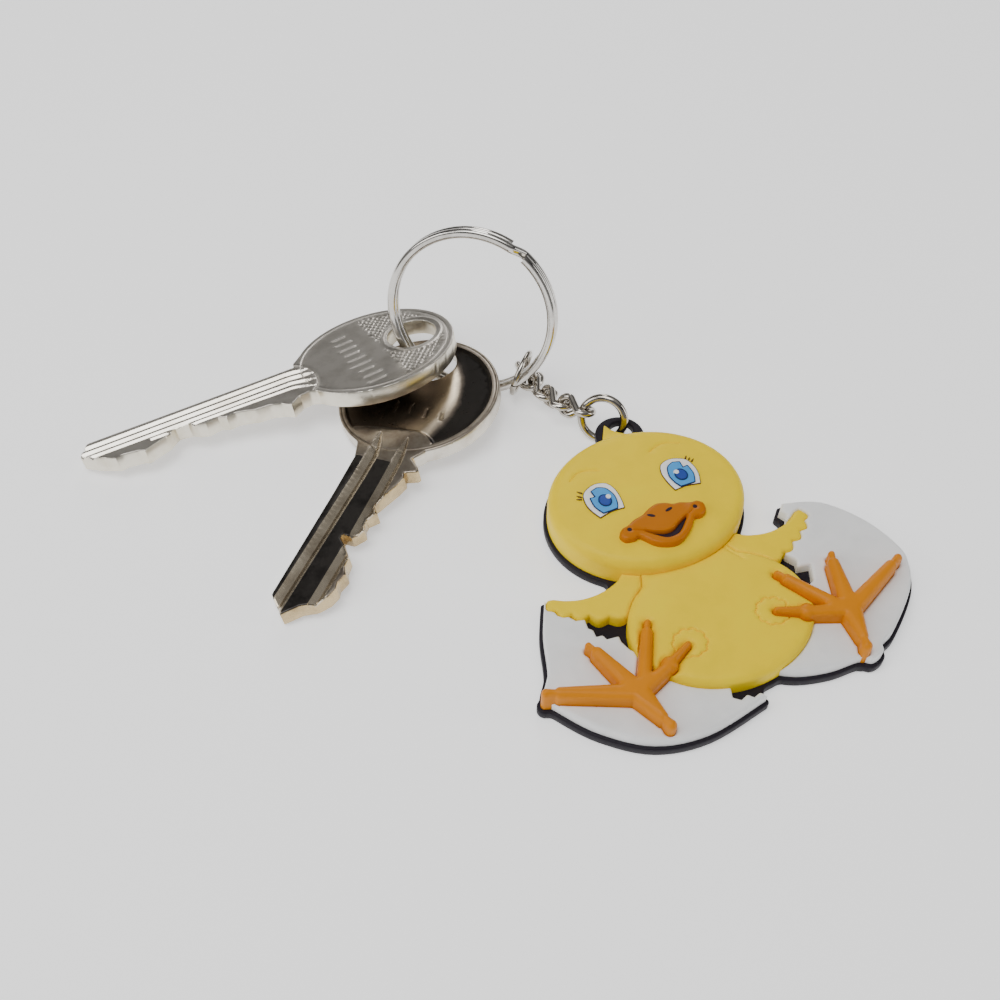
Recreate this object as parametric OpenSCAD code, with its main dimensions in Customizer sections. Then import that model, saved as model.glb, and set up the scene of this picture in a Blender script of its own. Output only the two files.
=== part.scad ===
// Chick keychain: a layered soft-PVC charm, a curb chain, a split ring and two keys.
// Millimetres, +Z up. The origin is the middle of the charm's flat back face.

/* [Charm] */
// Thickness of the black backing plate
backing_t = 1.5; // [1.2:0.1:1.8]
// Width of the black rim that shows around the coloured pieces
rim = 0.5; // [0.3:0.1:0.9]
// Top of the white eggshell pieces
shell_top = 3.2; // [2.8:0.1:3.4]
// Top of the wings
wing_top = 3.8; // [3.5:0.1:4.2]
// Top of the torso
torso_top = 4.6; // [4.3:0.1:5]
// Top of the legs and feet
leg_top = 5.4; // [5.2:0.1:5.8]
// Top of the head
head_top = 6.2; // [5.8:0.1:6.6]
// Half width of the head
head_a = 14.7; // [14:0.1:15]
// Half height of the head
head_b = 12.6; // [12:0.1:13]
// Half width of the belly
belly_a = 13.2; // [12.8:0.1:13.6]
// Half height of the belly
belly_b = 10.4; // [10:0.1:10.8]

/* [Hanging tab] */
// Radius of the tab
tab_r = 3.8; // [3.7:0.1:4]
// Radius of the hole in the tab
tab_hole_r = 1.8; // [1.7:0.05:1.9]
// Height of the tab's underside over the back face
tab_lift = 2; // [1.9:0.1:2.1]
// Thickness of the tab
tab_t = 1.4; // [1.2:0.1:1.5]

/* [Chain] */
// Radius of the curb link wire
link_wire_r = 0.6; // [0.55:0.01:0.62]
// Half length of a link, to the middle of its wire
link_half = 2.75; // [2.7:0.01:2.85]
// Half width of a link, to the middle of its wire
link_half_w = 1.6; // [1.55:0.01:1.7]
// Twist of a curb link from end to end
link_twist = 84; // [80:1:90]
// Radius of the tab ring, to the middle of its wire
tab_ring_r = 3.4; // [3.35:0.01:3.45]
// Radius of the tab ring's wire
tab_ring_wire_r = 0.64; // [0.6:0.01:0.66]
// Radius of the connector ring, to the middle of its wire
connector_r = 3.47; // [3.42:0.01:3.5]
// Radius of the connector ring's wire
connector_wire_r = 0.45; // [0.4:0.01:0.48]

/* [Split ring] */
// Outer radius of the split ring
ring_outer_r = 13.7; // [13.5:0.1:13.8]
// Width of the flat wire across the ring's face
ring_wire_w = 1.4; // [1.2:0.1:1.5]
// Height of both coils together
ring_h = 2.4; // [2.2:0.1:2.5]
// Gap between the two coils
ring_gap = 0.06; // [0.04:0.01:0.1]

/* [Keys] */
// Thickness of the long key
long_t = 2.8; // [2.6:0.1:2.9]
// Distance from the long key's hole to its tip
long_reach = 54.6; // [53:0.2:55]
// Thickness of the short key
short_t = 2.6; // [2.4:0.1:2.7]
// Distance from the short key's hole to its tip
short_reach = 51; // [50:0.2:51.4]
// Radius of the hole in the long key's bow
long_hole_r = 4; // [3.8:0.1:4.1]
// Radius of the hole in the short key's bow
short_hole_r = 4.2; // [4.1:0.05:4.3]

/* [Hidden] */
fine = 96;   // sides of the large circles
small = 48;  // sides of the small circles

// ---- where things lie ----
head_c = [0, 8.2];
belly_c = [0, -13.4];
face_x = -0.3;               // the eyes mirror about this line
tab_c = [3.07, 22.19];
tab_hole_c = [3.75, 23];
riser_y = 17.6;              // the tab rises off the plate under the head from here
ring_c = [-11.3, 46.5, 13.5];
ring_turn = [0, 73.5, 230.5];  // local +X points at the ring's lowest place
ring_split = 150;            // place along the ring where the two coils step over
long_at = [-19.5, 51.9, 6.3];
long_turn = [13, 4.5, -178.4];
short_at = [-17.4, 46.1, 3.45];
short_turn = [8, 2, -136.4];
short_hole_c = [-0.6, -1.6];

// ---- curves ----
// Points of an ellipse about c
function oval(c, a, b, n = fine) =
    [for (i = [0:n - 1]) c + [a * cos(360 * i / n), b * sin(360 * i / n)]];
// One point of a smooth curve from p1 to p2
function between(p0, p1, p2, p3, t) =
    0.5 * (2 * p1 + (p2 - p0) * t + (2 * p0 - 5 * p1 + 4 * p2 - p3) * t * t
    + (3 * p1 - p0 - 3 * p2 + p3) * t * t * t);
// Closed smooth curve through p
function loop(p, n = 5) = let (m = len(p))
    [for (i = [0:m - 1], k = [0:n - 1])
        between(p[(i + m - 1) % m], p[i], p[(i + 1) % m], p[(i + 2) % m], k / n)];
// Open smooth curve through p
function path(p, n = 5) = let (m = len(p))
    [for (i = [0:m - 2], k = [0:(i == m - 2 ? n : n - 1)])
        between(p[max(i - 1, 0)], p[i], p[i + 1], p[min(i + 2, m - 1)], k / n)];
// Row of outward bumps between the notches p
function bumps(p, depth, n = 8) =
    [for (i = [0:len(p) - 2], k = [0:n - 1])
        let (d = p[i + 1] - p[i], side = [-d.y, d.x] / norm(d), t = k / n)
        p[i] + d * t + side * depth * sin(180 * t)];
function mirrored(p) = [for (q = p) [-q.x, q.y]];

// A bar with round ends
module bar(p, q, rp, rq) {
    side = [p.y - q.y, q.x - p.x] / norm(q - p);
    polygon([p + side * rp, p - side * rp, q - side * rq, q + side * rq]);
    translate(p) circle(r = rp, $fn = small);
    translate(q) circle(r = rq, $fn = small);
}
// A layer of the charm from z0 up to z1
module layer(z0, z1) {
    translate([0, 0, z0]) linear_extrude(z1 - z0) children();
}
module on_side(side) {
    mirror([side < 0 ? 1 : 0, 0]) children();
}

// ---- outlines of the charm ----
module head_outline() {
    polygon(oval(head_c, head_a, head_b));
}
module torso_outline() {
    difference() {
        union() {
            polygon(oval(belly_c, belly_a, belly_b));
            polygon([[-6.2, -1], [-6.7, -3], [-8.1, -6], [-9.2, -8],
                     [9.2, -8], [8.1, -6], [6.7, -3], [6.2, -1]]);
        }
        head_outline();
    }
}
wing_edge = path([[9, -1.7], [10.6, -2.7], [13.3, -3.3], [16, -3.1], [18.1, -2.3],
                  [19.4, -1.5], [20.3, -1.3]]);
wing_notches = [[20.6, -1.7], [19.9, -3.4], [18.2, -4.8], [16.1, -6], [13.8, -7.3], [10.8, -7.9]];
module wing_outline(side) {
    difference() {
        on_side(side) polygon(concat(wing_edge, bumps(wing_notches, 0.75),
                                     [[10.8, -7.9], [8, -7], [6, -4], [6, -1]]));
        torso_outline();
        head_outline();
    }
}
module leg_outline() {
    bar([6.8, -16.1], [9.8, -17.5], 0.45, 0.65);     // thigh
    translate([10.5, -17.8]) circle(r = 1.15, $fn = small);
    bar([10.9, -18.1], [15.4, -19.7], 0.85, 1.1);    // shank
    bar([14.9, -18.9], [10.9, -12.3], 1, 0.8);       // inner toe
    bar([10.9, -12.3], [10.1, -11], 0.4, 0.5);
    bar([16.4, -18.7], [18.3, -12.5], 1.3, 0.85);    // middle toe
    bar([18.3, -12.5], [18.9, -11.1], 0.4, 0.5);
    bar([17, -19.5], [25.3, -16], 1.25, 0.85);       // outer toe
    bar([25.3, -16], [27, -15.3], 0.45, 0.62);
    bar([16, -20.1], [15, -24.1], 1.5, 0.75);        // hind toe
    bar([15, -24.1], [14.6, -25.6], 0.4, 0.75);
}
shell_left_rim = path([[-20.6, -1.2], [-23, -6], [-24.9, -11.5], [-26.9, -14.6], [-25.9, -17],
                       [-22.4, -21.8], [-16.8, -26.1], [-9.6, -27.5], [-0.6, -26.1]], 6);
shell_left_crack = [[-1.2, -25.3], [-2.3, -25.6], [-2.9, -24.9], [-4, -25.3], [-4.8, -24.6], [-4.1, -22.6],
                    [-8, -18], [-13.5, -13], [-14, -11.4], [-13.9, -10.4], [-15.6, -10.2], [-15.8, -9.4],
                    [-16.7, -9.3], [-16.6, -8.2], [-17.1, -7.7], [-16.9, -6.2], [-18.1, -5.9],
                    [-18.8, -4.8], [-20, -4.2]];
shell_right_rim = path([[18.6, 0.6], [24, -1.5], [28, -7], [29.6, -13], [28.9, -16.1], [27.2, -18.8],
                        [24.2, -21.5], [20.2, -24.3], [17.9, -25.2], [17.2, -26.4], [15.4, -26.9],
                        [13.8, -26], [9.6, -25.8], [5.5, -24.8], [2.7, -23.3]], 6);
shell_right_crack = [[7, -18], [13.4, -13.6], [15, -13], [16.2, -10.6], [14.3, -10.2], [14.8, -9.1],
                     [14, -7.7], [15.4, -4.6], [18, -1.6], [17.5, -0.5], [18.4, 0.3]];
module shell_outline(side) {
    difference() {
        polygon(side < 0 ? concat(shell_left_rim, shell_left_crack)
                         : concat(shell_right_rim, shell_right_crack));
        torso_outline();
        wing_outline(side);
    }
}
tuft = concat(path([[-0.9, 20], [0, 22], [1.3, 24.2]]), path([[1.6, 22.6], [2.4, 21.3], [3.6, 20.2]]),
              [[3.4, 19], [-0.6, 19]]);
beak_edge = loop([[-7.6, 2.2], [-7.2, 1.1], [-5.9, 0.8], [-5.1, 0.9], [-3.7, -1], [-2, -1.95], [-0.5, -2.1],
                  [1.2, -1.3], [2.7, -0.1], [3.6, 0.9], [4.6, 0.8], [5.7, 1.4], [6, 2.6], [5.3, 3.4], [4.3, 3.5],
                  [3, 4.1], [1.9, 4.25], [1.1, 4.8], [-0.3, 5.2], [-1.8, 4.8], [-3.1, 4.15], [-4.7, 3.8], [-5.9, 3.2],
                  [-6.9, 3]], 3);
mouth_edge = loop([[-4, 1.4], [-2.7, 0.65], [-1.3, 0.1], [0, 0.25], [1.3, 1], [2.6, 1.55], [2, 0.8],
                   [0.5, -0.5], [-0.5, -0.85], [-1.7, -0.75], [-2.7, 0]], 3);
nostril_c = [[-2, 3.4], [0.75, 3.35]];
corner_dot_c = [[-6, 2.3], [4.4, 2.4]];
// Eye pieces, right of the face line; the bottom edge is a straight cut
eye_edge = concat(path([[8.1, 6.5], [8.75, 8.2], [8.85, 9.8], [8.3, 11.4], [6.4, 12.3], [4.6, 11.9],
                        [3.85, 10.4], [3.85, 8.4], [4.15, 6.8]]), [[6, 7]]);
iris_edge = concat(path([[7.4, 6.85], [8, 8.4], [7.95, 10.1]]), [[7.15, 10], [7.25, 11.2]],
                   path([[6.2, 11.5], [5.1, 10.9], [4.55, 9.4], [4.7, 8], [5.15, 6.95]]));
pupil_c = [6.2, 8.85];
highlight_c = [5.65, 9.4];
layer_t = 0.2;  // thickness of each printed eye layer

module eye_piece(side, level) {
    translate([face_x, 0]) on_side(side) layer(head_top + level * layer_t, head_top + (level + 1) * layer_t)
        children();
}
// Root of the hanging tab: it rises off the plate under the head
module tab_core() {
    translate([tab_c.x - tab_r + 1, riser_y, 0]) cube([2 * tab_r - 2, 2.4, tab_lift + tab_t]);
    translate([tab_c.x, tab_c.y, tab_lift]) cylinder(r = tab_r, h = tab_t, $fn = fine);
}

// ---- outlines of the keys; +X runs to the tip, +Y is the cut side ----
long_bow_c = [6.6, 0.5];
long_bow = [13.1, 11.6];
short_bow_c = [6.6, -0.3];
short_bow_r = 12.9;
groove_d = 0.7;   // depth of the key grooves
recess_d = 0.5;   // depth of the crescent in the short key's bow
long_cuts = [[17.6, 6.4], [19.2, 5.5], [20.8, 5.7], [22.6, 7.2], [23.8, 6], [25.6, 5.1], [27.8, 4.9],
             [29.3, 4.2], [30.8, 3.7], [32.3, 3.9], [33.5, 3], [35.5, 3.5], [36.9, 2.9], [38, 1.8], [40, 1.4],
             [41.6, 3.1], [45.3, 4.7], [46.1, 4.1], [48.4, 3.6], [49.7, 3.9], [51.3, 2.6], [52.6, 1.7]];
short_cuts = [[18, 6.2], [19.7, 5], [20.9, 6.5], [21.6, 7], [22, 6.7], [22.6, 5.1], [23.5, 5.5], [25.1, 5.1],
              [28.7, 3.7], [29.3, 3.4], [30.3, 4.1], [30.8, 4.7], [32.1, 3.5], [33, 3.6], [34.2, 4.3],
              [35.9, 3.1], [35.9, 1.7], [36.5, 1.7], [37.6, 3], [39.2, 4.5], [40.7, 4.7], [42, 5.5],
              [43.7, 5.1], [44.7, 5.4], [46.3, 5], [47.9, 3.8], [48.9, 1.9]];
// Each groove: start, upper start, end, lower edge and upper edge
long_grooves = [[17.5, -1.6, -0.6], [18.3, 0.1, 0.9], [19, 1.5, 2.3]];
short_grooves = [[16.2, -2.5, -0.6], [16.3, 1.4, 3.2]];

module long_outline() {
    polygon(oval(long_bow_c, long_bow.x, long_bow.y));
    polygon(concat([[12, 9], [12, -6], [17.4, -6], [19.3, -4], [19.5, -2.9], [long_reach - 1.4, -3],
                    [long_reach, -0.3], [long_reach - 0.8, 0.5]],
                   [for (i = [len(long_cuts) - 1:-1:0]) long_cuts[i]]));
}
module short_outline() {
    translate(short_bow_c) circle(r = short_bow_r, $fn = fine);
    polygon(concat([[10, 8], [10, -7], [17, -7], [18.8, -5], [21.6, -4], [29, -3.6], [48.3, -3],
                    [49.4, -1.8], [short_reach, 0]],
                   [for (i = [len(short_cuts) - 1:-1:0]) short_cuts[i]]));
}
// Grooves on both faces, pointed where they start at the bow
module grooves(list, finish, t) {
    for (g = list, face = [-1, 1])
        translate([0, 0, face * (t - groove_d) / 2 - groove_d / 2 - (face < 0 ? 0.1 : 0)])
            linear_extrude(groove_d + 0.1)
                polygon([[g[0], (g[1] + g[2]) / 2], [g[0] + 2.4, g[1]], [finish, g[1]], [finish, g[2]],
                         [g[0] + 2.4, g[2]]]);
}

// ---- metal shapes ----
module rod(p, q, r) {
    d = q - p;
    translate(p) rotate([0, acos(d.z / norm(d)), atan2(d.y, d.x)]) cylinder(r = r, h = norm(d), $fn = small);
}
// A wire ring with a fine slit, its axis along n
module wire_ring(c, n, r, wire, slit_at) {
    translate(c) rotate([0, acos(n.z / norm(n)), atan2(n.y, n.x)]) rotate([0, 0, slit_at])
        rotate_extrude(angle = 360 - slit_deg, $fn = fine) translate([r, 0]) circle(r = wire, $fn = small);
}
slit_deg = 3;
// One twisted link lying along X
module curb_link() {
    straight = link_half - link_half_w;
    half = link_twist / 2;
    for (end = [-1, 1]) rotate([end * half, 0, 0]) translate([end * straight, 0, 0])
        rotate([0, 0, -end * 90]) rotate_extrude(angle = 180, $fn = fine)
            translate([link_half_w, 0]) circle(r = link_wire_r, $fn = small);
    for (side = [-1, 1]) {
        p = [-straight, side * link_half_w * cos(half), -side * link_half_w * sin(half)];
        q = [straight, side * link_half_w * cos(half), side * link_half_w * sin(half)];
        rod(p, q, link_wire_r);
        for (e = [p, q]) translate(e) sphere(r = link_wire_r * 1.04, $fn = small);
    }
}
module link_between(p, q, roll) {
    d = q - p;
    translate((p + q) / 2) rotate([roll, -atan2(d.z, norm([d.x, d.y])), atan2(d.y, d.x)]) curb_link();
}

// Rest layout: the points where neighbouring loops cross, from the ring end to the tab end,
// and how far each link is rolled about its own length
hinges = [[-4.31, 42.62, 2.06], [-3.92, 38.68, 2.34], [-3.27, 34.76, 2.89], [-2.16, 31.04, 3.76], [0.2, 27.7, 4.25]];
rolls = [153.3, -53.5, 124.2, 111.9];
connector_c = [-5.767, 39.643, 4.442];
connector_axis = [-0.69, 0.694, 0.207];
tab_ring_c = [1.94, 25.82, 3.78];
tab_ring_axis = [0.608, 0.672, -0.423];
tab_slit_at = 100;        // where the slit in each wire ring lies
connector_slit_at = 100;

// ---- the charm ----
module plate_outline() {
    offset(r = -gap_close, $fn = 24) offset(r = rim + gap_close, $fn = 24) {
        head_outline();
        torso_outline();
        for (side = [-1, 1]) {
            wing_outline(side);
            shell_outline(side);
            on_side(side) leg_outline();
        }
    }
}
gap_close = 1.2;  // black gaps narrower than twice this are filled
module backing_plate() {
    color([0.15, 0.13, 0.16]) difference() {
        union() {
            layer(0, backing_t) plate_outline();
            tab_core();
        }
        translate([tab_hole_c.x, tab_hole_c.y, -1]) cylinder(r = tab_hole_r, h = tab_lift + tab_t + 2, $fn = small);
    }
}
module shell(side) {
    color([0.93, 0.93, 0.9]) layer(backing_t, shell_top) difference() {
        shell_outline(side);
        on_side(side) leg_outline();
    }
}
module shell_left() { shell(-1); }
module shell_right() { shell(1); }
module torso() {
    color([0.97, 0.87, 0.05]) layer(backing_t, torso_top) difference() {
        torso_outline();
        for (side = [-1, 1]) on_side(side) leg_outline();
    }
}
module wing(side) {
    color([0.97, 0.87, 0.05]) layer(backing_t, wing_top) difference() {
        wing_outline(side);
        on_side(side) leg_outline();
    }
}
module wing_left() { wing(-1); }
module wing_right() { wing(1); }
module leg(side) {
    color([0.85, 0.49, 0.1]) layer(backing_t, leg_top) on_side(side) leg_outline();
}
module leg_left() { leg(-1); }
module leg_right() { leg(1); }
module head() {
    color([0.97, 0.87, 0.05]) difference() {
        layer(backing_t, head_top) head_outline();
        tab_core();
    }
}
module hair_tuft() {
    color([0.97, 0.87, 0.05]) layer(tab_lift + tab_t, tuft_top) difference() {
        polygon(tuft);
        head_outline();
    }
}
tuft_top = 5.4;
beak_top = head_top + 1;
mouth_top = head_top + 0.5;
bead_top = beak_top + 0.05;
bead_sink = 0.3;
module beads_outline() {
    for (c = nostril_c) translate(c) scale([1, 0.45]) circle(r = 0.45, $fn = 12);
    for (c = corner_dot_c) translate(c) circle(r = 0.4, $fn = small);
}
module beak() {
    color([0.8, 0.43, 0.1]) difference() {
        layer(head_top, beak_top) polygon(beak_edge);
        layer(head_top - 1, beak_top + 1) polygon(mouth_edge);
        layer(beak_top - bead_sink, beak_top + 1) beads_outline();
    }
}
module mouth() {
    color([0.24, 0.2, 0.24]) layer(head_top, mouth_top) polygon(mouth_edge);
}
module nostrils() {
    color([0.2, 0.12, 0.1]) layer(beak_top - bead_sink, bead_top) beads_outline();
}
module eye_white(side) { color([0.95, 0.95, 0.93]) eye_piece(side, 0) polygon(eye_edge); }
module iris(side) { color([0.37, 0.67, 0.88]) eye_piece(side, 1) polygon(iris_edge); }
module pupil(side) { color([0.2, 0.25, 0.55]) eye_piece(side, 2) translate(pupil_c) circle(r = 0.9, $fn = small); }
module highlight(side) {
    color([0.97, 0.97, 0.97]) translate([side < 0 ? 2 * highlight_shift : 0, 0]) eye_piece(side, 3)
        translate(highlight_c) circle(r = 0.4, $fn = small);
}
highlight_shift = 0.55;  // both highlights sit on the same side of the pupil
module eye_white_left() { eye_white(-1); }
module eye_white_right() { eye_white(1); }
module iris_left() { iris(-1); }
module iris_right() { iris(1); }
module pupil_left() { pupil(-1); }
module pupil_right() { pupil(1); }
module highlight_left() { highlight(-1); }
module highlight_right() { highlight(1); }

// ---- the chain ----
module tab_ring() {
    color([0.75, 0.75, 0.77]) wire_ring(tab_ring_c, tab_ring_axis, tab_ring_r, tab_ring_wire_r, tab_slit_at);
}
module curb_link_1() { color([0.75, 0.75, 0.77]) link_between(hinges[0], hinges[1], rolls[0]); }
module curb_link_2() { color([0.75, 0.75, 0.77]) link_between(hinges[1], hinges[2], rolls[1]); }
module curb_link_3() { color([0.75, 0.75, 0.77]) link_between(hinges[2], hinges[3], rolls[2]); }
module curb_link_4() { color([0.75, 0.75, 0.77]) link_between(hinges[3], hinges[4], rolls[3]); }
module ring_connector() {
    color([0.75, 0.75, 0.77]) wire_ring(connector_c, connector_axis, connector_r, connector_wire_r,
                                        connector_slit_at);
}
// One flat coil's section, its outer corners eased
coil_t = (ring_h - ring_gap) / 2;
ease = 0.2;
module coil_section(level) {
    inner = ring_outer_r - ring_wire_w;
    z0 = level > 0 ? ring_gap / 2 : -ring_gap / 2 - coil_t;
    z1 = z0 + coil_t;
    polygon([[inner + ease, z0], [ring_outer_r - ease, z0], [ring_outer_r, z0 + ease],
             [ring_outer_r, z1 - ease], [ring_outer_r - ease, z1], [inner + ease, z1],
             [inner, z1 - ease], [inner, z0 + ease]]);
}
step_deg = 6;  // half the arc over which one coil steps up to the next
module coil(level, from, span) {
    rotate([0, 0, from]) rotate_extrude(angle = span, $fn = fine) coil_section(level);
}
module split_ring() {
    color([0.8, 0.8, 0.82]) translate(ring_c) rotate(ring_turn) {
        for (level = [-1, 1]) coil(level, ring_split + step_deg, 360 - 2 * step_deg);
        rotate([0, 0, ring_split]) translate([ring_outer_r - ring_wire_w + ramp_in, 0, 0])
            rotate([90, 0, 90]) linear_extrude(ring_wire_w - 2 * ramp_in)
                polygon([[-ramp_half, -ring_gap / 2 - coil_t], [ramp_half, ring_gap / 2],
                         [ramp_half, ring_gap / 2 + coil_t], [-ramp_half, -ring_gap / 2]]);
    }
}
ramp_half = ring_outer_r * sin(step_deg) + 0.15;  // the ramp runs a little way into both coils
ramp_in = 0.1;                                     // and is slightly narrower than them

// ---- the keys ----
module key_long() {
    color([0.7, 0.69, 0.67]) translate(long_at) rotate(long_turn) difference() {
        translate([0, 0, -long_t / 2]) linear_extrude(long_t) long_outline();
        cylinder(r = long_hole_r, h = 2 * long_t, center = true, $fn = small);
        grooves(long_grooves, long_reach + 1, long_t);
    }
}
module key_short() {
    color([0.55, 0.5, 0.42]) translate(short_at) rotate(short_turn) difference() {
        translate([0, 0, -short_t / 2]) linear_extrude(short_t) short_outline();
        translate(short_hole_c) cylinder(r = short_hole_r, h = 2 * short_t, center = true, $fn = small);
        grooves(short_grooves, short_reach + 1, short_t);
        translate([0, 0, short_t / 2 - recess_d]) linear_extrude(recess_d + 0.1) crescent();
    }
}
// Sunk crescent on the cut side of the short key's bow
module crescent() {
    intersection() {
        translate(short_bow_c) circle(r = short_bow_r - 1.3, $fn = fine);
        polygon(concat(path([[-4.6, 1.6], [-1, 5], [3, 6.8], [9, 6.9], [15.5, 6.2]]), [[15.5, 14], [-8, 14]]));
    }
}

backing_plate();
shell_left();
shell_right();
torso();
wing_left();
wing_right();
leg_left();
leg_right();
head();
hair_tuft();
beak();
mouth();
nostrils();
eye_white_left();
eye_white_right();
iris_left();
iris_right();
pupil_left();
pupil_right();
highlight_left();
highlight_right();
tab_ring();
curb_link_1();
curb_link_2();
curb_link_3();
curb_link_4();
ring_connector();
split_ring();
key_long();
key_short();
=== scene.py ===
import math

import bmesh
import bpy
import numpy as np
from mathutils import Matrix, Vector
from mathutils.geometry import delaunay_2d_cdt


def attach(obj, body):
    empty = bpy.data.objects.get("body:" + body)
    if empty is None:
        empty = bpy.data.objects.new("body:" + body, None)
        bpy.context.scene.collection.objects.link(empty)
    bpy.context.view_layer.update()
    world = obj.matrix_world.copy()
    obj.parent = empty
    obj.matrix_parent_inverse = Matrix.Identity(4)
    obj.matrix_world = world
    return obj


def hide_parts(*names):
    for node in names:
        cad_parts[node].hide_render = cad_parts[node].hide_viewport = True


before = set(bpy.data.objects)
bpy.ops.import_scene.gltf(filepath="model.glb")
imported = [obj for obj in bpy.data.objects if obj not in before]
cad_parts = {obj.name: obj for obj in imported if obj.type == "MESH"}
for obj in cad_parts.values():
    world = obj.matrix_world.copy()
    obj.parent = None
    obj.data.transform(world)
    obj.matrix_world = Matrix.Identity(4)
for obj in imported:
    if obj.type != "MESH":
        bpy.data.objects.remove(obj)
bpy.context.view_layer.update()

MM = 0.001
CLOSEST = 0.05  # how near to each other a relief's inner points may lie, in millimetres

# ---------------------------------------------------------------- curves


def between(p0, p1, p2, p3, t):
    """Point of a Catmull-Rom curve between p1 and p2."""
    return 0.5 * (2 * p1 + (p2 - p0) * t + (2 * p0 - 5 * p1 + 4 * p2 - p3) * t * t
                  + (3 * p1 - p0 - 3 * p2 + p3) * t ** 3)


def smooth(points, n=6, closed=False):
    """Curve through the points, with n steps from each to the next."""
    p = np.array(points, float)
    m = len(p)
    out = []
    for i in range(m if closed else m - 1):
        q = [p[(i + k) % m] if closed else p[min(max(i + k, 0), m - 1)] for k in (-1, 0, 1, 2)]
        out += [between(*q, k / n) for k in range(n)]
    if not closed:
        out.append(p[-1])
    return np.array(out)


def even(line, step, closed=True):
    """Points along a line at about equal steps, with every given point kept."""
    p = np.array(line, float)
    if closed:
        p = np.vstack([p, p[:1]])
    out = []
    for a, b in zip(p[:-1], p[1:]):
        n = max(1, int(math.ceil(np.linalg.norm(b - a) / step)))
        out += [a + (b - a) * k / n for k in range(n)]
    if not closed:
        out.append(p[-1])
    return np.array(out)


def thin(line, least):
    """Drops points nearer than least to the one before."""
    out = [line[0]]
    for q in line[1:]:
        if np.linalg.norm(q - out[-1]) >= least:
            out.append(q)
    if np.linalg.norm(out[0] - out[-1]) < least:
        out.pop()
    return np.array(out)


def area(line):
    """Signed area of a closed outline, positive when it runs anticlockwise."""
    x, y = line[:, 0], line[:, 1]
    return 0.5 * float(np.sum(x * np.roll(y, -1) - np.roll(x, -1) * y))


def leftward(tangents):
    """Unit normals to the left of each tangent, which is inwards on an anticlockwise outline."""
    length = np.maximum(np.linalg.norm(tangents, axis=1), 1e-9)
    return np.stack([-tangents[:, 1], tangents[:, 0]], 1) / length[:, None]


def inward(loop):
    return leftward(np.roll(loop, -1, 0) - np.roll(loop, 1, 0))


def distance(points, line, closed=True):
    """Distance from each point to a polyline."""
    p = np.asarray(points, float)
    a = np.asarray(line, float)
    b = np.roll(a, -1, axis=0) if closed else a[1:]
    a = a if closed else a[:-1]
    best = np.full(len(p), 1e9)
    for k in range(0, len(a), 64):
        s, e = a[k:k + 64], b[k:k + 64]
        d = e - s
        w = np.clip(((p[:, None] - s) * d).sum(-1) / np.maximum((d * d).sum(-1), 1e-12), 0, 1)
        q = s + w[..., None] * d
        best = np.minimum(best, np.sqrt(((p[:, None] - q) ** 2).sum(-1)).min(1))
    return best


def inside(points, loops):
    """True for each point that lies in an odd number of the loops."""
    p = np.asarray(points, float)
    hit = np.zeros(len(p), bool)
    for line in loops:
        a, b = line, np.roll(line, -1, axis=0)
        for (x0, y0), (x1, y1) in zip(a, b):
            if y0 == y1:
                continue
            m = ((p[:, 1] >= min(y0, y1)) & (p[:, 1] < max(y0, y1)))
            hit ^= m & (p[:, 0] < x0 + (p[:, 1] - y0) * (x1 - x0) / (y1 - y0))
    return hit


def oval(c, a, b, n=120):
    t = np.linspace(0, 2 * np.pi, n, endpoint=False)
    return np.stack([c[0] + a * np.cos(t), c[1] + b * np.sin(t)], 1)


# ---------------------------------------------------------------- meshes


def mesh_object(name, verts, faces, material, at=None, sharp=None):
    """Smooth mesh from millimetres; at is a place and a rotation, sharp an angle in degrees."""
    me = bpy.data.meshes.new(name)
    v = np.asarray(verts, float)
    if at is not None:
        v = v @ np.array(at[1]).T + np.array(at[0])
    me.from_pydata((v * MM).tolist(), [], faces)
    me.validate(verbose=False)
    bm = bmesh.new()
    bm.from_mesh(me)
    bmesh.ops.recalc_face_normals(bm, faces=bm.faces)
    bm.to_mesh(me)
    bm.free()
    for f in me.polygons:
        f.use_smooth = True
    if sharp is not None:
        me.set_sharp_from_angle(angle=math.radians(sharp))
    me.materials.append(material)
    o = bpy.data.objects.new(name, me)
    bpy.context.scene.collection.objects.link(o)
    return o


def round_off(d, r):
    """How far an edge rounded with radius r drops at distance d from the outline."""
    if r <= 0:
        return np.zeros(len(d))
    return r - np.sqrt(np.maximum(r * r - (r - np.clip(d, 0, r)) ** 2, 0))


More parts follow.
